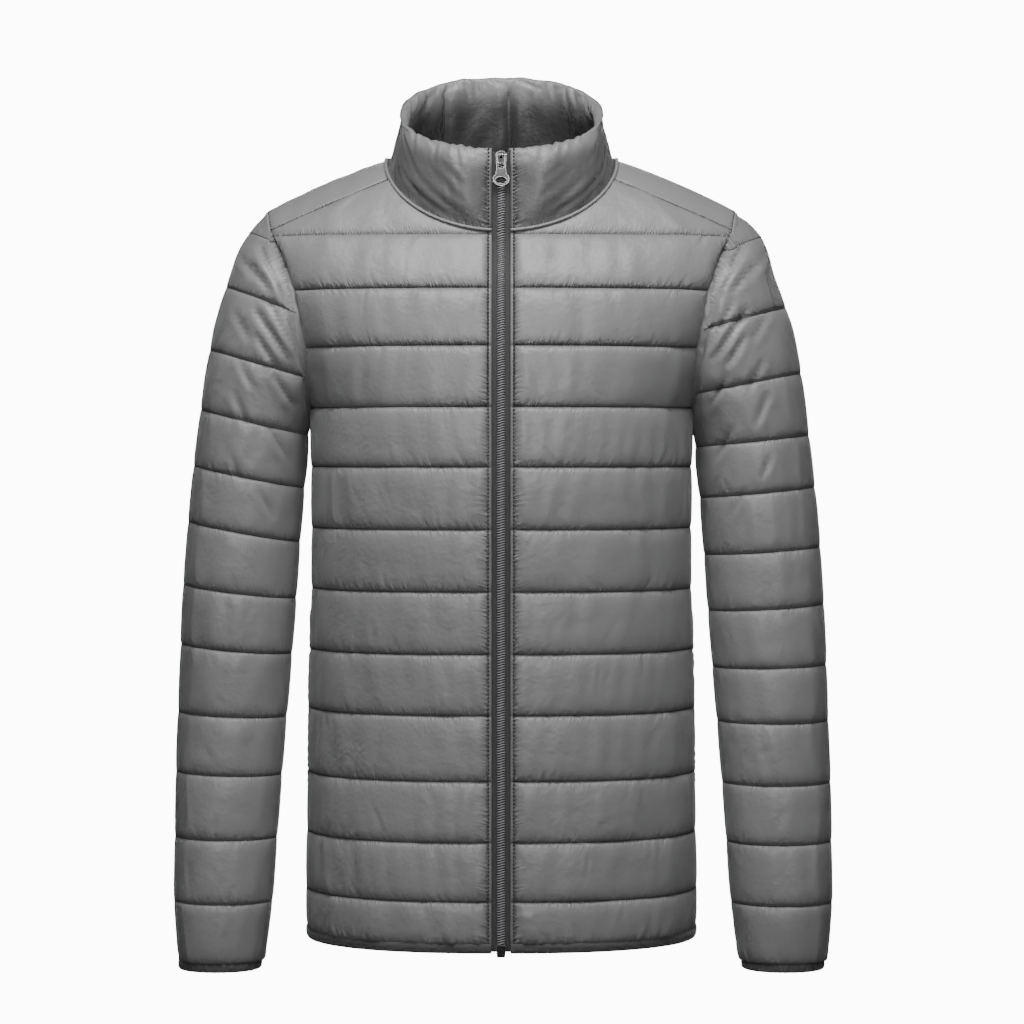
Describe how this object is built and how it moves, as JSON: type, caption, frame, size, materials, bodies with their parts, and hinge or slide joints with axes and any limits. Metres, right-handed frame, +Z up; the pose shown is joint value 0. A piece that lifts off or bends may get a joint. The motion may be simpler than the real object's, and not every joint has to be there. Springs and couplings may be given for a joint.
{
  "type": "puffer jacket",
  "caption": "Filled-out quilted puffer jacket with horizontal baffles, a stand collar, a full front zip and bound hem and cuffs, hollow and open at neck, hem and cuffs.",
  "frame": {"origin": "middle of the neck opening, level with the high points of the shoulders, where a wearer's neck and shoulders hold the jacket up", "axes": "+Z up, -Y out of the jacket's front, +X towards the wearer's left sleeve"},
  "size_m": [0.5936, 0.267, 0.8001],
  "materials": {
    "shell": "mid grey nylon with a soft satin sheen",
    "trim": "dark grey matt stretch binding and woven zip tape",
    "zip_plastic": "dark grey nylon coil and end box",
    "zip_metal": "gunmetal with bright edges"
  },
  "bodies": {
    "jacket": {"front_left": "shell", "front_right": "shell", "back": "shell", "upper_sleeve_front_left": "shell", "upper_sleeve_front_right": "shell", "upper_sleeve_back_left": "shell", "upper_sleeve_back_right": "shell", "lower_sleeve_left": "shell", "lower_sleeve_right": "shell", "collar": "shell", "neck_piping": "shell", "hem_binding": "trim", "cuff_binding_left": "trim", "cuff_binding_right": "trim", "zip_tape_left": "trim", "zip_tape_right": "trim", "zip_teeth_left": "zip_plastic", "zip_teeth_right": "zip_plastic", "zip_box": "zip_plastic", "zip_slider": "zip_metal"},
    "pull_tab": {"zip_pull_tab": "zip_metal"}
  },
  "joints": [
    {"name": "pull_tab_swing", "type": "hinge", "parent": "jacket", "child": "pull_tab", "pos_m": [0, -0.0847, -0.00047], "axis": [-1, 0, 0], "range_deg": [0, 160]}
  ]
}
